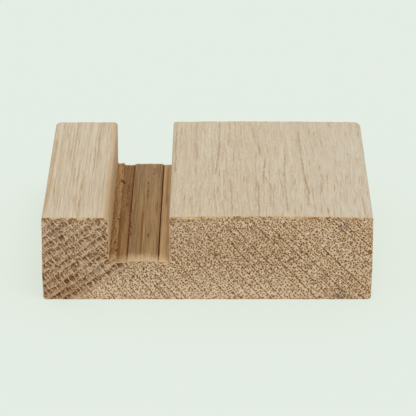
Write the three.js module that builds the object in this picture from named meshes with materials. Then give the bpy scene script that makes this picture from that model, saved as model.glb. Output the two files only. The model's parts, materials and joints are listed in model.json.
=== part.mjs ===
// A tile display stand: one block of solid oak with a slot along the grain for the lower edge of a tile.
// It is shaped as a long moulding and then sawn to length, so its form is one profile carried straight
// along the grain, with softened long edges and crisp sawn ends.
// Millimetres, +Z up, origin at the middle of the underside. X runs across the grain, from the narrow lip
// in front of the tile to the back that it leans over. Y runs along the grain and the slot.
import * as THREE from "three";

// The board that the block is cut from. Its thickness is that of the lip and of the back's outer edge.
const WIDTH = 75;
const LENGTH = 65;
const THICKNESS = 20;

// The slot, placed from the lip's outer face and sunk from the lip's top.
const LIP_WIDTH = 15.2;
const SLOT_WIDTH = 13.8;
const SLOT_DEPTH = 10.9;

// The back's top face, which has swollen a little above the board's thickness: its rise at the highest line,
// that line's distance from the slot, and the rise along the slot.
const CROWN_RISE = 0.3;
const CROWN_SETBACK = 16.5;
const SLOT_EDGE_RISE = 0.15;

// The slot's floor, as the cutter's passes left it: a raised bead against the lip, a lower strip, the flat land
// that the tile stands on, and another strip along the back. A scored line lies on each side of the land.
const BEAD_WIDTH = 1.6;
const BEAD_RISE = 0.2;
const BEAD_SLOPE = 0.2;
const LIP_STRIP_WIDTH = 2.1;
const LIP_STRIP_DROP = 0.35;
const BACK_STRIP_WIDTH = 2.2;
const BACK_STRIP_DROP = 0.25;
const SCORE_WIDTH = 0.5;
const SCORE_DEPTH = 0.7;

// Radii of the softened long edges.
const BASE_ARRIS = 0.7;
const LIP_ARRIS = 0.5;
const SLOT_ARRIS = 0.6;
const BACK_ARRIS = 0.5;
const ARC_STEPS = 4;

const QUARTER = Math.PI / 2;

// The floor, from the back wall to the lip's wall.
function cutFloor(profile, lipWall, backWall, land) {
  const bead = lipWall + BEAD_WIDTH;
  const lipScore = bead + BEAD_SLOPE + LIP_STRIP_WIDTH;
  const backScore = backWall - BACK_STRIP_WIDTH;
  const scoreBottom = land - SCORE_DEPTH;
  profile.lineTo(backWall, land - BACK_STRIP_DROP);
  profile.lineTo(backScore, land - BACK_STRIP_DROP);
  profile.lineTo(backScore - SCORE_WIDTH / 2, scoreBottom);
  profile.lineTo(backScore - SCORE_WIDTH, land);
  profile.lineTo(lipScore + SCORE_WIDTH, land);
  profile.lineTo(lipScore + SCORE_WIDTH / 2, scoreBottom);
  profile.lineTo(lipScore, land - LIP_STRIP_DROP);
  profile.lineTo(bead + BEAD_SLOPE, land - LIP_STRIP_DROP);
  profile.lineTo(bead, land + BEAD_RISE);
  profile.lineTo(lipWall, land + BEAD_RISE);
}

// The back's top face, from its outer edge over the highest line to the slot's edge.
function crownTop(profile, backFace, backWall) {
  const outerEdge = backFace - BACK_ARRIS;
  const slotEdge = backWall + 2 * SLOT_ARRIS;
  const crownLine = backWall + CROWN_SETBACK;
  const crown = THICKNESS + CROWN_RISE;
  profile.quadraticCurveTo((outerEdge + crownLine) / 2, crown, crownLine, crown);
  profile.quadraticCurveTo((slotEdge + crownLine) / 2, crown, slotEdge, THICKNESS + SLOT_EDGE_RISE);
}

// The block's outline across the grain, drawn anticlockwise from the underside. Each arc is one softened
// long edge, and the path runs straight from arc to arc.
function blockProfile() {
  const lipFace = -WIDTH / 2;
  const backFace = WIDTH / 2;
  const lipWall = lipFace + LIP_WIDTH;
  const backWall = lipWall + SLOT_WIDTH;
  const slotEdge = THICKNESS + SLOT_EDGE_RISE;
  const profile = new THREE.Shape();
  profile.absarc(lipFace + BASE_ARRIS, BASE_ARRIS, BASE_ARRIS, 2 * QUARTER, 3 * QUARTER);
  profile.absarc(backFace - BASE_ARRIS, BASE_ARRIS, BASE_ARRIS, -QUARTER, 0);
  profile.absarc(backFace - BACK_ARRIS, THICKNESS - BACK_ARRIS, BACK_ARRIS, 0, QUARTER);
  crownTop(profile, backFace, backWall);
  profile.absarc(backWall + SLOT_ARRIS, slotEdge - SLOT_ARRIS, SLOT_ARRIS, QUARTER, 2 * QUARTER);
  cutFloor(profile, lipWall, backWall, THICKNESS - SLOT_DEPTH);
  profile.absarc(lipWall - SLOT_ARRIS, THICKNESS - SLOT_ARRIS, SLOT_ARRIS, 0, QUARTER);
  profile.absarc(lipFace + LIP_ARRIS, THICKNESS - LIP_ARRIS, LIP_ARRIS, QUARTER, 2 * QUARTER);
  profile.closePath();
  return profile;
}

// The profile lies in X and Z once it is turned up, and runs half its length to each side of the origin.
function oakBlock() {
  const geometry = new THREE.ExtrudeGeometry(blockProfile(), {
    depth: LENGTH,
    bevelEnabled: false,
    curveSegments: ARC_STEPS,
  });
  geometry.translate(0, 0, -LENGTH / 2);
  geometry.rotateX(QUARTER);
  const oak = new THREE.MeshStandardMaterial({ color: 0xc4ad8a, roughness: 0.75, metalness: 0 });
  const block = new THREE.Mesh(geometry, oak);
  block.name = "oak_block";
  return block;
}

const stand = new THREE.Group();
stand.add(oakBlock());

export default stand;
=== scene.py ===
# Tile display stand: one block of solid oak with a slot for the lower edge of a tile.
# Metres, +Z up. X runs across the grain from the lip to the back, and Y along the grain.
import json
import math

import bmesh
import bpy
from mathutils import Matrix, Vector


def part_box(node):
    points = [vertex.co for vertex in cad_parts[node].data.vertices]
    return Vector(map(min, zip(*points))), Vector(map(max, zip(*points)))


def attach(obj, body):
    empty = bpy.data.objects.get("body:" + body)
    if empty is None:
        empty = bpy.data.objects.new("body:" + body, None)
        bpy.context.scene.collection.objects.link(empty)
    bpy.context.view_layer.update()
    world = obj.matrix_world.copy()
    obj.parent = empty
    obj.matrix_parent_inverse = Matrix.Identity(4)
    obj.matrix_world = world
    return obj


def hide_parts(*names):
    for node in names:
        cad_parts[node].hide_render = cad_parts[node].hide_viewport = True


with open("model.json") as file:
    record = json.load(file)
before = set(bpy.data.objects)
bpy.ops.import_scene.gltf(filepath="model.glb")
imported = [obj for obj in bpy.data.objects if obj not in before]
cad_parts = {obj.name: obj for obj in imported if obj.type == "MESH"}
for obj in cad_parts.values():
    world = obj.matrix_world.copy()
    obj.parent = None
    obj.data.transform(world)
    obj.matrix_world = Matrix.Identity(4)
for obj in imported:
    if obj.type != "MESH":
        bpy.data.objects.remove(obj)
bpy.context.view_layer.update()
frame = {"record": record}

# The oak block. The real one is a length of solid oak moulding: a planed board with a slot run along the
# grain and its long edges sanded soft, then sawn off square at both ends and left bare. It is made here the
# same way: the outline of a sawn end is cut from a sheet, and then drawn out along the grain.
low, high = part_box("oak_block")
mounts = {mount["name"]: mount["pos_m"] for mount in frame["record"]["mounts"]}
lip_wall = mounts["slot_lip_wall"][0]
back_wall = mounts["slot_back_wall"][0]
land = mounts["slot_floor"][2]
length = high.y - low.y
middle = (low + high) / 2
hair = 0.00001
clear = 0.0001

bpy.ops.object.select_all(action="DESELECT")
bpy.ops.mesh.primitive_plane_add(size=1, location=(middle.x, low.y, middle.z), rotation=(math.pi / 2, 0, 0))
block = bpy.context.object
block.name = "oak_stand"
block.scale = (high.x - low.x, high.z - low.z, 1)
bpy.ops.object.transform_apply(location=True, rotation=True, scale=True)
bpy.ops.object.mode_set(mode="EDIT")


def is_end(face):
    """Whether a face looks along the grain, as a sawn end does."""
    return abs(face.normal.y) > 0.5


def choose(kind, test, rim=False):
    """Selects the vertices, edges or faces whose middle passes a test, or only those on the rim of an end."""
    bpy.ops.mesh.select_mode(type=kind)
    bpy.ops.mesh.select_all(action="DESELECT")
    mesh = bmesh.from_edit_mesh(block.data)
    if kind == "VERT":
        parts = [(vertex, vertex.co) for vertex in mesh.verts]
    elif kind == "EDGE":
        parts = [(edge, (edge.verts[0].co + edge.verts[1].co) / 2) for edge in mesh.edges]
    else:
        parts = [(face, face.calc_center_median()) for face in mesh.faces]
    for part, place in parts:
        if not test(place):
            continue
        if rim and len({is_end(face) for face in part.link_faces}) < 2:
            continue
        part.select_set(True)
    bmesh.update_edit_mesh(block.data)


def score(x=None, y=None, z=None):
    """Draws one line right round the block, or over the whole sheet, at one x, y or z."""
    bpy.ops.mesh.select_all(action="SELECT")
    if x is not None:
        bpy.ops.mesh.bisect(plane_co=(x, 0, 0), plane_no=(1, 0, 0))
    elif y is not None:
        bpy.ops.mesh.bisect(plane_co=(0, y, 0), plane_no=(0, 1, 0))
    else:
        bpy.ops.mesh.bisect(plane_co=(0, 0, z), plane_no=(0, 0, 1))


def near(value, other):
    """Whether two places are the same, to a hair."""
    return abs(value - other) < hair


# The slot, with the steps and scored lines that the cutter's passes left in its floor. Each line of the floor
# is a place across the slot and a drop below the land.
bead = 0.0016
bead_rise = 0.0002
bead_slope = 0.0002
lip_strip = 0.0022
lip_drop = 0.00032
back_strip = 0.00233
back_drop = 0.00022
score_width = 0.00028
score_depth = 0.0004
rub_drop = 0.00012
rub_width = 0.0005
bead_edge = lip_wall + bead
lip_score = bead_edge + bead_slope + lip_strip
back_score = back_wall - back_strip
floor_lines = [
    (lip_wall, -bead_rise),
    (bead_edge, -bead_rise),
    (bead_edge + bead_slope, lip_drop),
    (lip_score, lip_drop),
    (lip_score + score_width / 2, score_depth),
    (lip_score + score_width, rub_drop),
    (lip_score + score_width + rub_width, 0),
    (back_score - score_width - rub_width, 0),
    (back_score - score_width, rub_drop),
    (back_score - score_width / 2, score_depth),
    (back_score, back_drop),
    (back_wall, back_drop),
]
score(z=land)
for place, _ in floor_lines:
    score(x=place)
choose("FACE", lambda at: lip_wall < at.x < back_wall and at.z > land)
bpy.ops.mesh.delete(type="FACE")
for place, drop in floor_lines:
    choose("VERT", lambda at: near(at.x, place) and near(at.z, land))
    bpy.ops.transform.translate(value=(0, 0, -drop))

# The top, as the planer and the drying left it: the lip and the outer edge lower, and the back with a crown
# that falls away ever faster on both sides.
lip_top = 0.0199
back_top = 0.02012
edge_top = 0.0199
crown = 0.008
tops = [(low.x, lip_top), (lip_wall, lip_top), (back_wall, back_top), (high.x, edge_top)]
for share in (0.25, 0.5, 0.75):
    for side, top in ((back_wall, back_top), (high.x, edge_top)):
        tops.append((crown + (side - crown) * share, high.z + (top - high.z) * share**2))
score(x=crown)
for place, _ in tops:
    score(x=place)
for place, top in tops:
    choose("VERT", lambda at: near(at.x, place) and near(at.z, high.z))
    bpy.ops.transform.translate(value=(0, 0, top - high.z))

# The sides, drawn in a little towards the underside. Each line is a height and how far it is drawn in.
bows = [(0, 0.00025), (0.0025, 0.0002), (0.005, 0.00012), (0.0075, 0.00004)]
for up, inset in bows:
    score(z=up)
    for side, inward in ((low.x, 1), (high.x, -1)):
        choose("VERT", lambda at: near(at.x, side) and near(at.z, up))
        bpy.ops.transform.translate(value=(inward * inset, 0, 0))

# The long edges, sanded soft. Each is a place in the outline, the width and height of its rounding at the far
# end, and its radius at the near end.
foot = bows[0][1]
arris_steps = 5
slot_arris = 0.0006
arrises = [
    (low.x + foot, low.z, 0.0007, 0.0007, 0.0007),
    (high.x - foot, low.z, 0.0007, 0.0007, 0.0007),
    (low.x, lip_top, 0.0014, 0.0011, 0.0005),
    (lip_wall, lip_top, 0.0007, 0.0007, slot_arris),
    (back_wall, back_top, 0.0007, 0.0007, slot_arris),
    (high.x, edge_top, 0.0018, 0.0013, 0.0005),
]
for x, z, far_width, _, _ in arrises:
    choose("VERT", lambda at: near(at.x, x) and near(at.z, z))
    bpy.ops.mesh.bevel(offset=far_width, segments=arris_steps, affect="VERTICES")

# Lines close enough together for the wear that follows. Those across the sides stop below the arrises.
mesh_step = 0.0005
arris_room = 0.0008
merge_gap = 0.00006
for count in range(1, round((high.x - low.x) / mesh_step)):
    score(x=low.x + count * mesh_step)
for count in range(1, int((lip_top - arris_room - low.z) / mesh_step)):
    score(z=low.z + count * mesh_step)
bpy.ops.mesh.select_all(action="SELECT")
bpy.ops.mesh.remove_doubles(threshold=merge_gap)

# The outline drawn out along the grain. The far end's crown is lower, and each arris gets its own size at
# either end.
far_crown = 0.55
bpy.ops.mesh.extrude_region_move(TRANSFORM_OT_translate={"value": (0, length, 0)})
choose("VERT", lambda at: at.y > middle.y and at.z > edge_top and at.x > back_wall)
bpy.ops.transform.resize(value=(1, 1, far_crown), center_override=(0, 0, edge_top))


def in_arris(at, x, z, far_width):
    """Whether a point belongs to the rounding at one place in the outline."""
    return abs(at.x - x) < far_width + hair and abs(at.z - z) < far_width + hair


for x, z, far_width, far_height, near_radius in arrises:
    shrink = near_radius / far_width
    choose("VERT", lambda at: at.y < middle.y and in_arris(at, x, z, far_width))
    bpy.ops.transform.resize(value=(shrink, 1, shrink), center_override=(x, low.y, z))
    choose("VERT", lambda at: at.y > middle.y and in_arris(at, x, z, far_width))
    bpy.ops.transform.resize(value=(1, 1, far_height / far_width), center_override=(x, high.y, z))

# The near end, which isn't quite true to the far one. The slot's floor comes up and leans towards the lip,
# and the lip's outer face is drawn in: each draw is the height that it starts from and its depth.
floor_rise = 0.0003
floor_lean = 0.0001
lean_from_lip = 0.003
lean_from_back = 0.0015
floor_reach = 0.0009
lip_face = 0.0004
lip_draws = [(0.008, 0.0001), (0.012, 0.00008)]


def near_floor(at, from_lip, from_back):
    """Whether a point is on the near end's line of the floor, and clear of the slot's walls."""
    between_walls = lip_wall + from_lip < at.x < back_wall - from_back
    return at.y < middle.y and between_walls and abs(at.z - land) < floor_reach


choose("VERT", lambda at: near_floor(at, clear, clear))
bpy.ops.transform.translate(value=(0, 0, floor_rise))
choose("VERT", lambda at: near_floor(at, lean_from_lip, lean_from_back))
bpy.ops.transform.translate(value=(-floor_lean, 0, 0))
for up, inset in lip_draws:
    choose("VERT", lambda at: at.y < middle.y and at.x < low.x + lip_face and at.z > up)
    bpy.ops.transform.translate(value=(inset, 0, 0))

# Lines across the grain, with closer ones by the sawn ends and in the floor of the slot.
grain_cuts = 80
end_lines = (0.00015, 0.00035)
choose("EDGE", lambda at: near(at.y, middle.y))
bpy.ops.mesh.subdivide(number_cuts=grain_cuts)
bpy.ops.mesh.select_all(action="SELECT")
bpy.ops.mesh.normals_make_consistent(inside=False)
for inset in end_lines:
    score(y=low.y + inset)
    score(y=high.y - inset)
floor_depth = 0.001
floor_height = 0.0006


def on_floor(at):
    """Whether a point is on the floor of the slot, with its steps and scored lines."""
    return lip_wall < at.x < back_wall and land - floor_depth < at.z < land + floor_height


choose("FACE", lambda at: on_floor(at) and abs(at.y) < high.y - clear)
bpy.ops.mesh.subdivide(number_cuts=1)

# The pits that the cutter tore out of the bead: each a distance from the lip's wall, a place along the grain,
# a width and a depth.
pits = [
    (0.0016, 0.0197, 0.0005, 0.0005),
    (0.0014, -0.0058, 0.0003, 0.0003),
    (0.0012, -0.0210, 0.0003, 0.0003),
    (0.0015, -0.0258, 0.0003, 0.0003),
    (0.0014, -0.0321, 0.0003, 0.0001),
]
for from_lip, along, width, depth in pits:
    choose("VERT", lambda at: on_floor(at) and math.hypot(at.x - lip_wall - from_lip, at.y - along) < width)
    bpy.ops.transform.translate(value=(0, 0, -depth))

# Three finishes: planed long faces, sawn ends, and the slot.
planed = bpy.data.materials.new("oak_planed")
sawn = bpy.data.materials.new("oak_sawn_end")
slotted = bpy.data.materials.new("oak_slot")
for finish in (planed, sawn, slotted):
    finish.use_nodes = True
    block.data.materials.append(finish)


def on_end(at):
    """Whether a point is on a sawn end."""
    return abs(at.y) > high.y - hair


def in_slot(at):
    """Whether a point is on the slot's floor or its walls, up to the arrises."""
    across = lip_wall - hair < at.x < back_wall + hair
    return across and land - floor_depth < at.z < lip_top - slot_arris and abs(at.y) < high.y - hair


for index, place_of in ((1, on_end), (2, in_slot)):
    choose("FACE", place_of)
    block.active_material_index = index
    bpy.ops.object.material_slot_assign()


def keep_group(name):
    """Keeps the selected vertices as a group."""
    bpy.ops.object.vertex_group_assign_new()
    block.vertex_groups.active.name = name


# The places that are worn or torn: the rims of both sawn ends, the near end's top edge where the saw notched
# it, the bead, the rest of the floor, and the torn part of the scored line by the lip.
notch_reach = 0.0003
torn_reach = 0.0006
torn_start = -0.016
torn_end = 0.006


def on_torn_line(at):
    """Whether a point is on the torn part of the scored line."""
    from_line = abs(at.x - lip_score - score_width / 2)
    return from_line < torn_reach and torn_start < at.y < torn_end and on_floor(at)


choose("VERT", on_end, rim=True)
keep_group("sawn_edge")
choose("VERT", lambda at: near(at.y, low.y) and at.z > lip_top - notch_reach, rim=True)
keep_group("notched_edge")
choose("VERT", lambda at: near(at.y, low.y + end_lines[0]) and at.z > lip_top - notch_reach)
keep_group("notched_inside")
choose("VERT", lambda at: lip_wall + clear < at.x < bead_edge + clear and on_floor(at))
keep_group("bead")
choose("VERT", lambda at: bead_edge + bead_slope < at.x < back_wall - clear and on_floor(at))
keep_group("floor")
choose("VERT", on_torn_line)
keep_group("torn_line")
bpy.ops.object.mode_set(mode="OBJECT")


def wear(group, size, grain, depth, direction="Z", deepest=0, spared=1):
    """Takes up to a depth off a group of vertices, in a cloudy pattern that is longer along the grain.

    The full depth goes where the cloud is thinner than the deepest value, and none where it is over the
    spared one.
    """
    clouded = bpy.data.textures.new(group, "CLOUDS")
    clouded.noise_scale = size
    clouded.noise_depth = 2
    clouded.use_color_ramp = True
    for stop, place, shade in zip(clouded.color_ramp.elements, (deepest, spared), (0, 1)):
        stop.position = place
        stop.color = (shade, shade, shade, 1)
    bpy.ops.object.empty_add()
    stretch = bpy.context.object
    stretch.scale = (1, grain, 1)
    bpy.context.view_layer.update()
    bpy.context.view_layer.objects.active = block
    rub = block.modifiers.new(group, "DISPLACE")
    rub.texture = clouded
    rub.texture_coords = "OBJECT"
    rub.texture_coords_object = stretch
    rub.vertex_group = group
    rub.direction = direction
    rub.mid_level = 1
    rub.strength = depth
    bpy.ops.object.modifier_apply(modifier=rub.name)
    bpy.data.objects.remove(stretch)


saw_bites = {"deepest": 0.38, "spared": 0.52}
wear("sawn_edge", size=0.0011, grain=1, depth=0.00015, direction="NORMAL", **saw_bites)
wear("notched_edge", size=0.0008, grain=1, depth=0.00022, **saw_bites)
wear("notched_inside", size=0.0008, grain=1, depth=0.00012, **saw_bites)
wear("bead", size=0.0011, grain=2, depth=0.00035)
wear("floor", size=0.0007, grain=30, depth=0.00014)
wear("torn_line", size=0.0003, grain=1.5, depth=0.0004)
sharpest_smooth = math.radians(35)
bpy.ops.object.select_all(action="DESELECT")
block.select_set(True)
bpy.context.view_layer.objects.active = block
bpy.ops.object.shade_smooth_by_angle(angle=sharpest_smooth)

# How near each point is to the rim of a sawn end, where the saw frayed the fibres. Inside the rim, the sawn
# face itself has none.
fray_reach = 0.001
face_depth = 0.00005
rim = block.data.attributes.new("rim", "FLOAT", "POINT")
sawn_edge = block.vertex_groups["sawn_edge"].index
for vertex in block.data.vertices:
    inside = high.y - abs(vertex.co.y)
    if any(weight.group == sawn_edge for weight in vertex.groups):
        rim.data[vertex.index].value = 1
    elif inside > face_depth:
        rim.data[vertex.index].value = max(0, 1 - inside / fray_reach)
    else:
        rim.data[vertex.index].value = 0

# The patterns of the oak are drawn in millimetres, with the nodes of one pattern or finish at a time laid out
# on the bench.
mm = 1000


def feed(socket, source):
    """Sets a socket to a fixed value, or links another node's output to it."""
    if isinstance(source, bpy.types.NodeSocket):
        bench.links.new(source, socket)
    else:
        socket.default_value = source


def calc(operation, *terms):
    """One sum, on sockets or fixed values."""
    node = bench.nodes.new("ShaderNodeMath")
    node.operation = operation
    for socket, term in zip(node.inputs, terms):
        feed(socket, term)
    return node.outputs[0]


def times(first, *others):
    for other in others:
        first = calc("MULTIPLY", first, other)
    return first


def plus(first, *others):
    for other in others:
        first = calc("ADD", first, other)
    return first


def minus(first, second):
    return calc("SUBTRACT", first, second)


def unsigned(value):
    return calc("ABSOLUTE", value)


def apart(first, second):
    """The straight distance over two distances at right angles."""
    return calc("SQRT", plus(times(first, first), times(second, second)))


def between(share, least, most):
    """Goes straight from one value, where the share is 0, to the other, where it is 1."""
    return plus(least, times(share, most - least))


def fade(value, start, end):
    """Goes softly from 0, where the value is at the start, to 1, where it is at the end."""
    node = bench.nodes.new("ShaderNodeMapRange")
    node.interpolation_type = "SMOOTHSTEP"
    feed(node.inputs["Value"], value)
    feed(node.inputs["From Min"], start)
    feed(node.inputs["From Max"], end)
    return node.outputs["Result"]


def split(place):
    """The three parts of a place or a colour."""
    node = bench.nodes.new("ShaderNodeSeparateXYZ")
    feed(node.inputs[0], place)
    return node.outputs[0], node.outputs[1], node.outputs[2]


def millimetres(place):
    """A place on the block, measured in millimetres."""
    return [times(axis, mm) for axis in split(place)]


def spot(x, y, z, sizes):
    """A place, with each axis measured in its own size."""
    node = bench.nodes.new("ShaderNodeCombineXYZ")
    for socket, axis, size in zip(node.inputs, (x, y, z), sizes):
        feed(socket, axis if size == 1 else calc("DIVIDE", axis, size))
    return node.outputs[0]


def noise(place, detail):
    """Soft noise, as one value and as a colour."""
    node = bench.nodes.new("ShaderNodeTexNoise")
    feed(node.inputs["Vector"], place)
    feed(node.inputs["Scale"], 1)
    feed(node.inputs["Detail"], detail)
    return node.outputs


def cloud(place, detail=1):
    """Soft noise, as a value about 0.5."""
    return noise(place, detail)[0]


def clouds(place):
    """Soft noise on each axis by itself, as three values about 0.5."""
    return split(noise(place, 1)[1])


def sway(value, amount):
    """Soft noise as a push either way, of an amount from end to end."""
    return times(minus(value, 0.5), amount)


def strew(place, stray):
    """The nearest of a field of strewn points: the way to it on each axis, and its three chance values."""
    node = bench.nodes.new("ShaderNodeTexVoronoi")
    feed(node.inputs["Vector"], place)
    feed(node.inputs["Scale"], 1)
    feed(node.inputs["Randomness"], stray)
    away = bench.nodes.new("ShaderNodeVectorMath")
    away.operation = "SUBTRACT"
    feed(away.inputs[0], place)
    feed(away.inputs[1], node.outputs["Position"])
    return split(away.outputs[0]), split(node.outputs["Color"])


# How the oak grew, as one pattern through the whole block. The heart of the tree lay above the lip's side, so
# the rings cross the end from lower left to upper right and the rays run out across them.
growth = bpy.data.node_groups.new("oak_growth", "ShaderNodeTree")
bench = growth
growth.interface.new_socket(name="Place", in_out="INPUT", socket_type="NodeSocketVector")
heart_x = -190
heart_z = 230
usual_radius = 290
coarse_edge = 280.3
edge_blur = 0.7
coarse_ring = 1.845
fine_ring = 0.62
cell_gap = 1.2
ray_gap = 1.8
pore_gap = 0.58
row_gap = 0.5

x, y, z = millimetres(growth.nodes.new("NodeGroupInput").outputs["Place"])
slow = clouds(spot(x, y, z, (45, 30, 45)))
quick = clouds(spot(x, y, z, (7, 18, 7)))
wave = between(fade(x, -24, -4), 0.4, 2.6)
across = plus(x, sway(slow[0], wave), sway(quick[0], 0.3))
above = plus(z, sway(slow[2], wave), sway(quick[2], 0.3))
out = minus(across, heart_x)
down = minus(heart_z, above)
radius = apart(out, down)
around = times(calc("ARCTAN2", down, out), usual_radius)

# The rings, wide by the lip and fine over the rest.
ringed = plus(radius, sway(cloud(spot(radius, around, y, (2.5, 6, 50))), 1.6))
ring = plus(calc("DIVIDE", calc("MINIMUM", ringed, coarse_edge), coarse_ring),
            calc("DIVIDE", calc("MAXIMUM", minus(ringed, coarse_edge), 0), fine_ring))
coarse = fade(ringed, coarse_edge + edge_blur, coarse_edge - edge_blur)
fine = minus(1, coarse)
ring_width = between(coarse, fine_ring, coarse_ring)
phase = calc("FRACT", ring)
late = times(fade(phase, 0.2, 0.55), fade(phase, 1, 0.85))


def column(place, feature):
    """Uneven columns along one axis: the distance to the nearest edge, or the column's own chance value."""
    node = bench.nodes.new("ShaderNodeTexVoronoi")
    node.voronoi_dimensions = "1D"
    node.feature = feature
    feed(node.inputs["W"], place)
    feed(node.inputs["Scale"], 1)
    return node.outputs["Distance"] if feature == "DISTANCE_TO_EDGE" else split(node.outputs["Color"])[0]


# The late wood of the wide rings, in dark cells that taper between the light rays. Each ring's cells stand
# clear of the next ring's, and each has a depth of its own.
ring_shift = times(calc("FLOOR", ring), 41.3)
bent = plus(around, sway(cloud(spot(radius, around, y, (4, 9, 30))), 1.2))
row = plus(calc("DIVIDE", bent, cell_gap), ring_shift)
gap = times(column(row, "DISTANCE_TO_EDGE"), cell_gap)
own = column(row, "F1")
ragged = cloud(spot(radius, around, y, (0.7, 0.4, 9)))
stepped = plus(ring, times(own, 0.3), sway(ragged, 0.2))
step = calc("FRACT", stepped)
cell_length = calc("FLOOR", calc("DIVIDE", y, 26))
dice = bench.nodes.new("ShaderNodeTexWhiteNoise")
feed(dice.inputs["Vector"], spot(calc("FLOOR", stepped), times(own, 97), cell_length, (1, 1, 1)))
cell_depth = between(dice.outputs["Value"], 0.38, 0.9)
tooth = times(fade(step, 0.05, 0.1), between(fade(step, 0.9, 0.25), 0.1, 1), fade(step, 1, 0.92))
taper = fade(gap, between(step, 0.05, 0.21), between(step, 0.1, 0.36))
slat = fade(cloud(spot(radius, around, y, (1.6, 0.13, 9))), 0.5, 0.58)
wide_cell = times(plus(times(tooth, taper, cell_depth), times(slat, 0.32)), coarse)

# The late wood of the fine rings, in scattered patches that come oftenest in the middle of the block.
to_patch, luck = strew(spot(ring, around, y, (1.5, 1.3, 26)), 0.9)
patch_reach = plus(calc("DIVIDE", unsigned(to_patch[0]), 0.38), calc("DIVIDE", unsigned(to_patch[1]), 0.36))
in_middle = times(fade(z, 6, 11), fade(z, 19, 15), fade(x, 30, 14))
chance = minus(luck[0], times(minus(1, in_middle), 0.3))
patch = times(fade(plus(patch_reach, sway(ragged, 0.8)), 1.1, 0.75), fade(chance, 0.2, 0.6), fine)
cell = plus(wide_cell, times(patch, 0.55))

# The pale lines between the cells, broken here and there.
ring_line = times(plus(fade(step, 0.9, 0.95), fade(step, 0.08, 0.04)), 0.2)
ray_line = times(fade(gap, 0.11, 0.05), 0.7)
line_breaks = between(fade(ragged, 0.42, 0.6), 0.35, 1)
line = times(calc("MAXIMUM", ray_line, ring_line), coarse, line_breaks)

# The rays, thin sheets that run out from the heart.
to_ray, luck = strew(spot(around, y, radius, (ray_gap, 26, 13)), 1)
from_ray = times(unsigned(to_ray[0]), ray_gap)
ray_breaks = between(fade(ragged, 0.38, 0.58), 0.65, 1)
ray = times(fade(from_ray, 0.13, 0.05), fade(luck[0], 0, 0.75), between(fine, 0.4, 1), ray_breaks)


def tubes(rings, spacing, stray, narrowest, faintest):
    """Fine tubes along the grain, in rows round the rings: the tubes, and the pale tissue round each."""
    to_tube, luck = strew(spot(rings, around, y, (1, spacing, 5)), stray)
    from_tube = apart(times(to_tube[0], ring_width), times(to_tube[1], spacing))
    bore = plus(narrowest, times(luck[1], 0.05))
    opened = between(fade(luck[0], 0.35, 0.95), faintest, 1)
    tube = fade(from_tube, bore, times(bore, 0.9))
    tissue = fade(from_tube, plus(bore, 0.16), bore)
    return times(tube, opened), times(tissue, opened)


# The pores, strewn over the fine rings. In the wide rings they lie in one row along the start of each ring,
# with odd ones further out.
fine_pore, fine_pale = tubes(ring, pore_gap, stray=0.8, narrowest=0.145, faintest=0.85)
row_pore, row_pale = tubes(plus(ring, 0.04), row_gap, stray=0.8, narrowest=0.155, faintest=0.7)
odd_pore, odd_pale = tubes(plus(ring, 0.6), row_gap, stray=1, narrowest=0.14, faintest=0.45)
pore = plus(times(fine_pore, fine), times(calc("MAXIMUM", row_pore, odd_pore), coarse))
pale = plus(times(fine_pale, fine), times(calc("MAXIMUM", row_pale, times(odd_pale, 0.5)), coarse))

# The fibres, fine threads of lighter and darker wood, and the slow changes of tone along the board.
short_thread = strew(spot(radius, around, y, (0.32, 0.26, 9)), 1)[1][0]
long_thread = strew(spot(radius, around, y, (1.1, 0.2, 9)), 1)[1][0]
thread = plus(times(short_thread, fine), times(long_thread, coarse))
fibre = plus(times(cloud(spot(across, y, above, (0.2, 9, 0.2))), 0.35), times(thread, 0.65))
tone = cloud(spot(x, y, z, (12, 60, 9)), detail=2)
sink = growth.nodes.new("NodeGroupOutput")
for name, value in (("Rings", late), ("Cells", cell), ("Lines", line), ("Rays", ray), ("Pores", pore),
                    ("Pale", pale), ("Fibre", fibre), ("Tone", tone), ("Coarse", coarse)):
    growth.interface.new_socket(name=name, in_out="OUTPUT", socket_type="NodeSocketFloat")
    feed(sink.inputs[name], value)


def paint(red, green, blue):
    """A colour as it is seen, turned to the plain light that the shader works in."""
    shades = [shade / 255 for shade in (red, green, blue)]
    return [shade / 12.92 if shade < 0.04045 else ((shade + 0.055) / 1.055) ** 2.4 for shade in shades] + [1]


def tint(amount, under, over):
    """Lays one colour over another by an amount."""
    node = bench.nodes.new("ShaderNodeMix")
    node.data_type = "RGBA"
    feed(node.inputs[0], amount)
    feed(node.inputs[6], under)
    feed(node.inputs[7], over)
    return node.outputs[2]


def grown():
    """Puts the oak's growth on the bench."""
    place = bench.nodes.new("ShaderNodeTexCoord").outputs["Object"]
    node = bench.nodes.new("ShaderNodeGroup")
    node.node_tree = growth
    feed(node.inputs["Place"], place)
    return place, node.outputs


def fray():
    """The frayed rim of a sawn end."""
    node = bench.nodes.new("ShaderNodeAttribute")
    node.attribute_name = "rim"
    return node.outputs["Fac"]


def finish_with(colour, roughness, gloss, height, depth):
    """Gives the finish on the bench its colour, its dull or bright surface, and its fine relief."""
    bump = bench.nodes.new("ShaderNodeBump")
    bump.inputs["Distance"].default_value = depth
    feed(bump.inputs["Height"], height)
    shader = bench.nodes["Principled BSDF"]
    shader.inputs["Roughness"].default_value = roughness
    shader.inputs["Specular IOR Level"].default_value = gloss
    feed(shader.inputs["Base Color"], colour)
    feed(shader.inputs["Normal"], bump.outputs[0])


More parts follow.
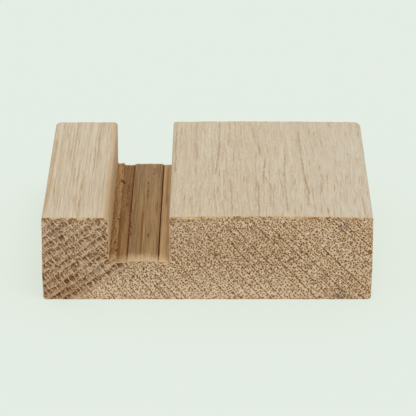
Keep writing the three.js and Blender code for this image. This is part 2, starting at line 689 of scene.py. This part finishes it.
# The planed faces: pale cream, with the rays cut aslant into long wavy pinkish strokes and the pores into
# short tan ones. The lip is banded, and the faces turn paler towards the back's outer edge.
straw = paint(203, 187, 158)
cream = paint(217, 204, 181)
dull_straw = paint(201, 182, 152)
ring_tan = paint(194, 172, 136)
pore_tan = paint(184, 152, 104)
ray_pink = paint(170, 140, 108)
bleached = paint(208, 197, 178)
thin_tan = paint(174, 142, 100)
band_tan = paint(182, 154, 114)
band_cream = paint(222, 210, 190)
fleck_tan = paint(182, 158, 122)
fleck_cream = paint(226, 214, 194)
dash_gold = paint(178, 138, 78)
bench = planed.node_tree
place, oak = grown()
x, y, z = millimetres(place)
from_wall = minus(x, lip_wall * mm)
aslant = plus(x, times(z, 0.8))
on_lip = fade(from_wall, 1, -1)
colour = tint(fade(oak["Fibre"], 0.1, 0.9), straw, cream)
colour = tint(times(fade(oak["Tone"], 0.4, 0.65), 0.4), colour, dull_straw)
colour = tint(times(oak["Rings"], 0.15), colour, ring_tan)
colour = tint(times(oak["Pores"], 0.2), colour, pore_tan)
colour = tint(times(fade(oak["Rays"], 0.1, 0.5), fade(oak["Tone"], 0.25, 0.6), 0.35), colour, ray_pink)
colour = tint(times(fade(x, 8, 34), 0.35), colour, bleached)
thin = cloud(spot(aslant, y, z, (0.2, 30, 20)))
thin_dark = times(fade(thin, 0.54, 0.66), between(fade(from_wall, 4, -2), 0.3, 1))
colour = tint(times(thin_dark, 0.75), colour, thin_tan)
bands = cloud(spot(aslant, y, z, (0.7, 110, 20)), detail=2)
colour = tint(times(fade(bands, 0.5, 0.66), on_lip, 0.4), colour, band_tan)
colour = tint(times(fade(bands, 0.5, 0.34), on_lip, 0.25), colour, band_cream)
fleck = cloud(spot(x, y, z, (0.17, 1.4, 0.5)))
flecked = between(on_lip, 0.3, 0.16)
colour = tint(times(fade(fleck, 0.52, 0.7), flecked), colour, fleck_tan)
colour = tint(times(fade(fleck, 0.48, 0.3), flecked), colour, fleck_cream)
to_dash, luck = strew(spot(plus(x, times(y, -0.03)), y, z, (1.5, 9, 20)), 1)
dash_long = fade(unsigned(to_dash[1]), 0.36, 0.1)
dash_wide = fade(unsigned(to_dash[0]), 0.09, 0.04)
dash_luck = plus(luck[0], times(fade(x, 10, 34), 0.12), times(fade(y, 8, -20), 0.12))
dash = times(dash_wide, dash_long, fade(dash_luck, 0.8, 1))
colour = tint(times(dash, 0.8), colour, dash_gold)

# The larger strokes on the top. Each is a place across and along the grain where it starts and where it ends,
# a half width and a strength. The first list is of rays, and the second of opened pores. Fine wisps of ray
# lie between them on the back.
ray_strokes = [
    (2.9, 32, 2.8, 14, 0.3, 0.5),
    (2.8, 15, 1.9, -5, 0.3, 0.6),
    (22.0, 25, 22.3, 4, 0.3, 0.42),
    (22.2, 5, 22.8, -8, 0.3, 0.6),
    (22.8, -8, 23.4, -18, 0.3, 0.85),
    (23.4, -17, 23.0, -26, 0.3, 0.4),
    (13.5, 5, 13.1, -7, 0.3, 0.6),
    (13.2, -6, 14.7, -13, 0.3, 0.45),
    (14.7, -12, 14.6, -26, 0.3, 0.5),
    (18.4, 7, 18.0, -6, 0.3, 0.5),
    (17.9, -5, 18.3, -29, 0.3, 0.45),
    (11.9, -12, 11.7, -31, 0.28, 0.55),
    (5.2, -9, 5.8, -28, 0.28, 0.5),
    (-7.6, 32, -7.7, 14, 0.3, 0.5),
    (-7.7, 16, -7.5, -3, 0.3, 0.6),
    (-2.8, 32, -2.6, 6, 0.6, 0.3),
    (12.1, 18, 12.4, 9, 0.3, 0.4),
    (-26.9, 14, -26.7, -2, 0.16, 0.7),
    (-29.1, -9, -29.1, -31, 0.14, 0.7),
    (-31.2, 0, -31.1, -11, 0.2, 0.5),
    (-32.8, 12, -32.9, 5, 0.2, 0.5),
]
pore_strokes = [
    (25.8, 24.5, 25.7, 22.5, 0.22, 0.7),
    (26.4, 1, 26.4, -1, 0.2, 0.7),
    (26.6, -5, 26.8, -9, 0.2, 0.8),
    (27.5, -27, 27.5, -30.5, 0.2, 0.8),
    (33.3, 10, 33.3, 8.5, 0.2, 0.6),
    (11.1, 29, 11.2, 20, 0.25, 0.4),
    (35.3, -15, 35.9, -31, 0.2, 0.6),
    (-35.6, -8, -34.9, -24, 0.16, 0.7),
    (-30.0, -17, -29.8, -30, 0.16, 0.6),
    (-36.4, 20, -36.9, -28, 0.55, 0.35),
]
wisp_pink = paint(174, 142, 110)
stroke_pink = paint(170, 138, 106)
stroke_gold = paint(182, 140, 78)
on_top = fade(z, 15, 18)
waver = sway(cloud(spot(x, y, z, (6, 5, 20))), 0.7)
to_wisp, luck = strew(spot(plus(x, waver, times(y, 0.02)), y, z, (1.9, 11, 20)), 1)
wisp_wide = fade(unsigned(to_wisp[0]), 0.15, 0.04)
wisp_long = fade(unsigned(to_wisp[1]), 0.45, 0.15)
wisp = times(wisp_wide, wisp_long, fade(luck[0], 0.3, 0.9), fade(x, -9, -7), on_top)
colour = tint(times(wisp, 0.42), colour, wisp_pink)
patchy = between(fade(cloud(spot(x, y, z, (1, 2.2, 5))), 0.4, 0.6), 0.8, 1.4)
for strokes, shade in ((ray_strokes, stroke_pink), (pore_strokes, stroke_gold)):
    for first_x, first_y, last_x, last_y, half_width, strength in strokes:
        slant = (last_x - first_x) / (last_y - first_y)
        stroke_x = plus(times(y, slant), first_x - first_y * slant, waver)
        from_stroke = unsigned(minus(x, stroke_x))
        in_length = times(fade(y, first_y + 1.5, first_y - 1), fade(y, last_y - 1.5, last_y + 1))
        stroke = times(fade(from_stroke, half_width, half_width / 4), in_length, on_top, patchy)
        colour = tint(times(stroke, strength), colour, shade)

# The edges of the planed faces: tan along the slot, partly rubbed and partly painted shade, and gold at the
# rim of a sawn end, partly frayed and partly painted shade.
edge_shade_and_wear_tan = paint(190, 157, 111)
frayed_shade_gold = paint(208, 176, 124)
# Painted shade, with some wear: tan on the lip's rounded edge where it turns down into the slot, stronger
# towards the near end.
slot_edge_shade_and_wear = times(fade(from_wall, -1.6, -0.5), fade(from_wall, 3, 2), fade(z, 15, 19))
colour = tint(times(slot_edge_shade_and_wear, between(fade(y, 15, -15), 0.5, 0.8)), colour, edge_shade_and_wear_tan)
# Frayed fibres and painted shade: gold on the top's rim where it rolls over onto a sawn end.
tick = sway(cloud(spot(x, y, z, (0.6, 0.8, 0.6))), 2)
frayed = plus(times(fade(fray(), 0, 0.8), 0.15), times(fade(plus(fray(), tick), 0.55, 0.9), 0.55))
colour = tint(frayed, colour, frayed_shade_gold)
fine_relief = minus(times(oak["Fibre"], 0.5), oak["Pores"])
finish_with(colour, roughness=0.62, gloss=0.3, height=fine_relief, depth=0.00003)

# The sawn ends: browner, as end grain drinks in the light, with open pores and the late wood's dark cells.
# Their rim is frayed, its fibres partly painted light and with painted shadow in brown patches beneath, and
# they have a few grey smudges from handling, each a place and a size.
smudges = [(-34.3, 16.5, 2), (31, 18, 2.2), (30.2, 1, 2.6)]
fibre_brown = paint(187, 154, 108)
fibre_cream = paint(228, 210, 185)
foot_cream = paint(236, 213, 182)
middle_brown = paint(150, 110, 66)
coarse_brown = paint(156, 116, 66)
tissue_gold = paint(222, 180, 112)
late_brown = paint(108, 60, 12)
line_cream = paint(230, 206, 168)
ray_brown = paint(106, 56, 0)
pore_brown = paint(90, 40, 0)
rim_shadow_brown = paint(150, 104, 54)
frayed_highlight_straw = paint(221, 194, 148)
smudge_grey = paint(88, 64, 52)
bench = sawn.node_tree
place, oak = grown()
x, y, z = millimetres(place)
colour = tint(fade(oak["Fibre"], 0.1, 0.9), fibre_brown, fibre_cream)
by_foot = times(fade(z, 7, 2), minus(1, oak["Coarse"]), fade(x, 30, 16))
colour = tint(times(by_foot, 0.55), colour, foot_cream)
in_middle = times(fade(z, 8, 11), fade(z, 18, 14), fade(x, 26, 14))
colour = tint(times(in_middle, 0.1), colour, middle_brown)
lip_corner = times(fade(z, 13, 2), fade(x, -24, -32))
colour = tint(times(oak["Coarse"], between(lip_corner, 0.09, 0.39)), colour, coarse_brown)
colour = tint(times(oak["Pale"], 0.45), colour, tissue_gold)
colour = tint(times(oak["Cells"], between(fade(z, 18, 6), 0.8, 1)), colour, late_brown)
colour = tint(times(oak["Lines"], 0.75), colour, line_cream)
colour = tint(times(oak["Rays"], 0.9), colour, ray_brown)
colour = tint(times(oak["Pores"], between(by_foot, 0.88, 0.73)), colour, pore_brown)
tick = sway(cloud(spot(x, y, z, (0.9, 0.8, 0.9))), 3)
# Painted shadow: brown patches just inside the rim, beneath the frayed fibres.
rim_shadow_cloud = cloud(spot(plus(x, 50), y, z, (1.1, 0.8, 0.8)))
colour = tint(times(fade(fray(), 0.35, 0.7), fade(rim_shadow_cloud, 0.46, 0.56), 0.6), colour, rim_shadow_brown)
# Frayed fibres at the rim, their pale straw partly painted light that the fibres catch.
frayed = times(fade(fray(), 0.45, 0.75), fade(plus(fray(), tick), 0.8, 1.05))
colour = tint(times(frayed, 0.75), colour, frayed_highlight_straw)
for smudge_x, smudge_z, size in smudges:
    from_smudge = apart(minus(x, smudge_x), minus(z, smudge_z))
    grimy = times(fade(from_smudge, size, 0), fade(oak["Fibre"], 0.9, 0.3), fade(y, 10, -10), 0.55)
    colour = tint(grimy, colour, smudge_grey)
open_relief = minus(times(oak["Cells"], -0.4), oak["Pores"])
finish_with(colour, roughness=0.9, gloss=0.05, height=open_relief, depth=0.00006)

# The slot: toasted brown by the cutter, in long streaks, darker by the lip and greyer at the far end. The
# strip by the lip is browner, the one by the back golden, and the bead is lumpy.
lip_toast = paint(138, 111, 76)
back_toast = paint(177, 146, 104)
broad_tan = paint(184, 152, 112)
broad_brown = paint(136, 102, 62)
olive_brown = paint(150, 124, 74)
far_grey = paint(140, 122, 100)
strip_brown = paint(126, 87, 42)
strip_tan = paint(152, 114, 68)
strip_gold = paint(218, 185, 136)
lump_brown = paint(138, 99, 50)
lump_tan = paint(184, 146, 94)
narrow_brown = paint(134, 98, 58)
narrow_tan = paint(190, 158, 116)
fibre_tan = paint(196, 164, 122)
speck_brown = paint(126, 90, 50)
speck_tan = paint(206, 174, 130)
bench = slotted.node_tree
place, oak = grown()
x, y, z = millimetres(place)
from_wall = minus(x, lip_wall * mm)
broad = cloud(spot(from_wall, y, z, (0.8, 60, 20)), detail=2)
narrow = cloud(spot(from_wall, y, z, (0.22, 18, 20)), detail=2)
olive = cloud(spot(from_wall, y, z, (0.5, 40, 30)))
lump = cloud(spot(from_wall, y, z, (0.32, 4, 5)), detail=2)
blots = cloud(spot(from_wall, y, z, (0.36, 1.4, 5)))
speck = cloud(spot(from_wall, y, z, (0.24, 1, 5)))
colour = tint(fade(from_wall, 4, 11.5), lip_toast, back_toast)
colour = tint(times(fade(broad, 0.4, 0.7), 0.35), colour, broad_tan)
colour = tint(times(fade(broad, 0.5, 0.3), 0.35), colour, broad_brown)
colour = tint(times(fade(olive, 0.5, 0.65), 0.5), colour, olive_brown)
colour = tint(times(fade(y, 6, 24), 0.35), colour, far_grey)
strip = tint(fade(plus(y, sway(broad, 30)), 4, -12), strip_brown, strip_tan)
colour = tint(times(fade(from_wall, 4.1, 3.8), 0.85), colour, strip)
colour = tint(times(fade(from_wall, 11.3, 11.7), 0.9), colour, strip_gold)
lumps = tint(fade(lump, 0.35, 0.65), lump_brown, lump_tan)
colour = tint(times(fade(from_wall, 1.8, 1.5), 0.85), colour, lumps)
streaky = between(fade(from_wall, 12, 11), 0.6, 1)
colour = tint(times(fade(narrow, 0.5, 0.65), streaky, 0.6), colour, narrow_brown)
colour = tint(times(fade(narrow, 0.48, 0.34), streaky, 0.4), colour, narrow_tan)
colour = tint(times(fade(oak["Fibre"], 0.3, 0.9), 0.3), colour, fibre_tan)
specked = between(fade(from_wall, 4.5, 2.5), 0.3, 0.7)
colour = tint(times(fade(speck, 0.5, 0.7), specked, 0.45), colour, speck_brown)
colour = tint(times(fade(speck, 0.5, 0.3), specked, 0.3), colour, speck_tan)

# The marks on the floor. Each streak or row of opened pores is a distance from the lip's wall, its first and
# last place along the grain, a half width and a strength.
streaks = [
    (7.0, -28, -2, 0.3, 0.75),
    (7.05, -4, 10, 0.3, 0.35),
    (10.3, -2, 5, 0.25, 0.5),
    (9.9, -13, -7, 0.2, 0.35),
    (12.9, -32, 10, 0.3, 0.25),
    (12.5, 6, 30, 0.35, 0.4),
]
pore_rows = [
    (7.85, 9, 19, 0.3, 0.9),
    (9.05, 25, 29, 0.3, 0.9),
    (3.1, 4, 18, 0.45, 0.8),
    (8.6, -17, -15.4, 0.3, 0.9),
]
streak_brown = paint(128, 82, 38)
row_brown = paint(112, 76, 30)


def band(place_across, middle_line, half_width):
    """A soft line along the slot."""
    return fade(unsigned(minus(place_across, middle_line)), half_width, half_width / 2)


for from_lip, first, last, half_width, strength in streaks:
    in_length = times(fade(y, first - 3, first + 1), fade(y, last + 3, last - 1))
    streak = times(band(from_wall, from_lip, half_width), in_length)
    colour = tint(times(streak, strength), colour, streak_brown)
for from_lip, first, last, half_width, strength in pore_rows:
    in_length = times(fade(y, first - 1, first), fade(y, last + 1, last))
    dots = times(band(from_wall, from_lip, half_width), fade(blots, 0.48, 0.54), in_length)
    colour = tint(times(dots, strength), colour, row_brown)

# The bead's edge, with a painted highlight where it is still sharp and, beside it towards the near end, a
# brown band that is partly burnt and partly painted shadow, with torn spots.
bead_highlight_gold = paint(204, 166, 114)
burn_and_shadow_brown = paint(106, 64, 28)
torn_brown = paint(100, 60, 22)
# Painted highlight: a bright line along the bead's sharp edge, fading out towards the far end.
bead_highlight = times(band(from_wall, 1.35, 0.25), fade(narrow, 0.4, 0.6), fade(y, 20, 10))
colour = tint(times(bead_highlight, 0.5), colour, bead_highlight_gold)
# Burnt brown and painted shadow: a band just below the bead's step, towards the near end.
burn_and_shadow_end = fade(plus(y, sway(narrow, 12)), 2, -8)
burn_and_shadow = times(band(from_wall, 2.05, 0.45), burn_and_shadow_end, between(fade(broad, 0.35, 0.6), 0.5, 1))
colour = tint(times(burn_and_shadow, 0.65), colour, burn_and_shadow_brown)
torn_spots = times(fade(from_wall, 1.9, 1.6), fade(speck, 0.54, 0.62), fade(y, 12, -4))
colour = tint(times(torn_spots, 0.55), colour, torn_brown)

# The scored lines, dark brown in their grooves, partly burnt and partly painted shade, and scorched beside,
# which wander a little and stop short of the near end. The one by the lip is torn in the middle, with reddish
# specks beside it.
scorch_brown = paint(126, 80, 32)
groove_burn_and_shade_brown = paint(92, 42, 0)
red_brown = paint(96, 44, 16)
score_half_width = 0.18
torn = times(fade(y, 3, 0), fade(y, -18, -15))
jog = sway(cloud(spot(from_wall, y, z, (20, 3, 20))), 0.3)
wandering = plus(from_wall, times(minus(high.y * mm, y), 0.0016), jog)
stops_short = fade(y, -32.2, -31)
torn_strength = between(times(torn, fade(blots, 0.54, 0.46)), 1, 0.35)
for from_lip, line_strength, scorch in ((4.14, torn_strength, 0.3), (11.34, 1, 0.25)):
    scorched = times(band(wandering, from_lip - 0.04, 0.42), stops_short, line_strength, scorch)
    colour = tint(scorched, colour, scorch_brown)
    # Painted shade, partly burn: the dark brown in each scored groove.
    groove_burn_and_shade = times(band(wandering, from_lip, score_half_width), stops_short,
                   between(fade(narrow, 0.4, 0.6), 0.85, 1))
    colour = tint(times(groove_burn_and_shade, line_strength), colour, groove_burn_and_shade_brown)
red_specks = times(band(wandering, 4.3, 0.65), fade(blots, 0.52, 0.58), fade(speck, 0.4, 0.55), torn)
colour = tint(times(red_specks, 0.9), colour, red_brown)

# The floor turns paler towards the near end, as painted light falling into the slot's open end, the pits in
# the bead are dark, and the walls are paler than the floor, with their own streaks along the grain.
open_end_light_cream = paint(226, 199, 158)
pit_brown = paint(106, 62, 22)
wall_gold = paint(231, 198, 152)
wall_cream = paint(222, 199, 162)
wall_brown = paint(172, 136, 92)
wall_pale = paint(232, 212, 180)
wall_tan = paint(190, 156, 112)
frayed_tan = paint(204, 176, 136)
# Painted light: paler where light falls into the open near end of the slot, broken into specks and weaker by
# the lip's wall.
near_end = fade(plus(y, sway(narrow, 5), sway(blots, 2)), -26.5, -32)
end_specks = between(fade(speck, 0.6, 0.4), 0.5, 0.85)
open_end_light = times(near_end, end_specks, between(fade(wandering, 2, 5), 0.5, 1))
colour = tint(open_end_light, colour, open_end_light_cream)
for from_lip, along, width, _ in pits:
    from_pit = apart(minus(wandering, from_lip * mm), times(minus(y, along * mm), 0.6))
    colour = tint(fade(from_pit, 1.4 * width * mm, 0.7 * width * mm), colour, pit_brown)
wall_grain = cloud(spot(x, y, z, (9, 16, 0.22)), detail=2)
wall = tint(fade(z, 10, 18.5), wall_gold, wall_cream)
wall = tint(times(fade(wall_grain, 0.5, 0.68), 0.4), wall, wall_brown)
wall = tint(times(fade(wall_grain, 0.48, 0.32), 0.3), wall, wall_pale)
wall = tint(times(fade(oak["Fibre"], 0.3, 0.8), 0.2), wall, wall_tan)
colour = tint(fade(z, 9.4, 9.9), colour, wall)
frayed = fade(plus(fray(), times(oak["Fibre"], 0.5)), 0.5, 1)
colour = tint(times(frayed, 0.5), colour, frayed_tan)
finish_with(colour, roughness=0.75, gloss=0.1, height=plus(oak["Fibre"], narrow), depth=0.00006)

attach(block, "root")
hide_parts("oak_block")

# The floor that the stand is shown on: a plain sheet of pale green paper. It glows a little to the camera and
# in reflections, so that it shows pale and still keeps the stand's shadow.
paper_size = 4
paper_white = paint(231, 231, 231)
paper_glow = paint(228, 240, 227)
glow_share = 0.7
bpy.ops.mesh.primitive_plane_add(size=paper_size)
studio_floor = bpy.context.object
studio_floor.name = "studio_floor"
paper = bpy.data.materials.new("paper")
paper.use_nodes = True
bench = paper.node_tree
shader = bench.nodes["Principled BSDF"]
shader.inputs["Base Color"].default_value = paper_white
shader.inputs["Roughness"].default_value = 1
shader.inputs["Specular IOR Level"].default_value = 0
glow = bench.nodes.new("ShaderNodeEmission")
glow.inputs["Color"].default_value = paper_glow
rays = bench.nodes.new("ShaderNodeLightPath").outputs
shown = plus(rays["Is Camera Ray"], rays["Is Glossy Ray"], rays["Is Transmission Ray"])
mixed = bench.nodes.new("ShaderNodeMixShader")
feed(mixed.inputs[0], times(shown, glow_share))
feed(mixed.inputs[1], shader.outputs[0])
feed(mixed.inputs[2], glow.outputs[0])
feed(bench.nodes["Material Output"].inputs["Surface"], mixed.outputs[0])
studio_floor.data.materials.append(paper)

# The studio's light: an even white sky, which the camera sees in the paper's colour, and one broad soft lamp
# above the near end.
sky_white = (0.7, 0.7, 0.7, 1)
backdrop = paint(229, 237, 228)
lamp_side = Vector((0.15, -0.35, 0.92))
lamp_spread = math.radians(40)
world = bpy.context.scene.world or bpy.data.worlds.new("studio")
bpy.context.scene.world = world
world.use_nodes = True
bench = world.node_tree
seen = bench.nodes.new("ShaderNodeLightPath").outputs["Is Camera Ray"]
feed(bench.nodes["Background"].inputs["Color"], tint(seen, sky_white, backdrop))
bench.nodes["Background"].inputs["Strength"].default_value = 1
bpy.ops.object.light_add(type="SUN")
lamp = bpy.context.object
lamp.rotation_euler = lamp_side.to_track_quat("Z", "Y").to_euler()
lamp.data.energy = 1.0
lamp.data.angle = lamp_spread

# The camera, at the place that the photograph was taken from, as fitted to the corners of the block. The
# picture is a square.
image_side = 416
focal_pixels = 2837.4
camera_place = Vector((0.00347, -0.62784, 0.25161))
pitch = math.radians(21.067)
yaw = math.radians(0.308)
roll = math.radians(-0.134)
bpy.ops.object.camera_add()
camera = bpy.context.object
tilt = Matrix.Rotation(math.pi / 2 - pitch, 4, "X")
aim = Matrix.Rotation(yaw, 4, "Z") @ tilt @ Matrix.Rotation(roll, 4, "Z")
camera.matrix_world = Matrix.Translation(camera_place) @ aim
camera.data.sensor_width = 36
camera.data.lens = focal_pixels / image_side * camera.data.sensor_width
bpy.context.scene.camera = camera
bpy.context.scene.view_settings.view_transform = "Standard"
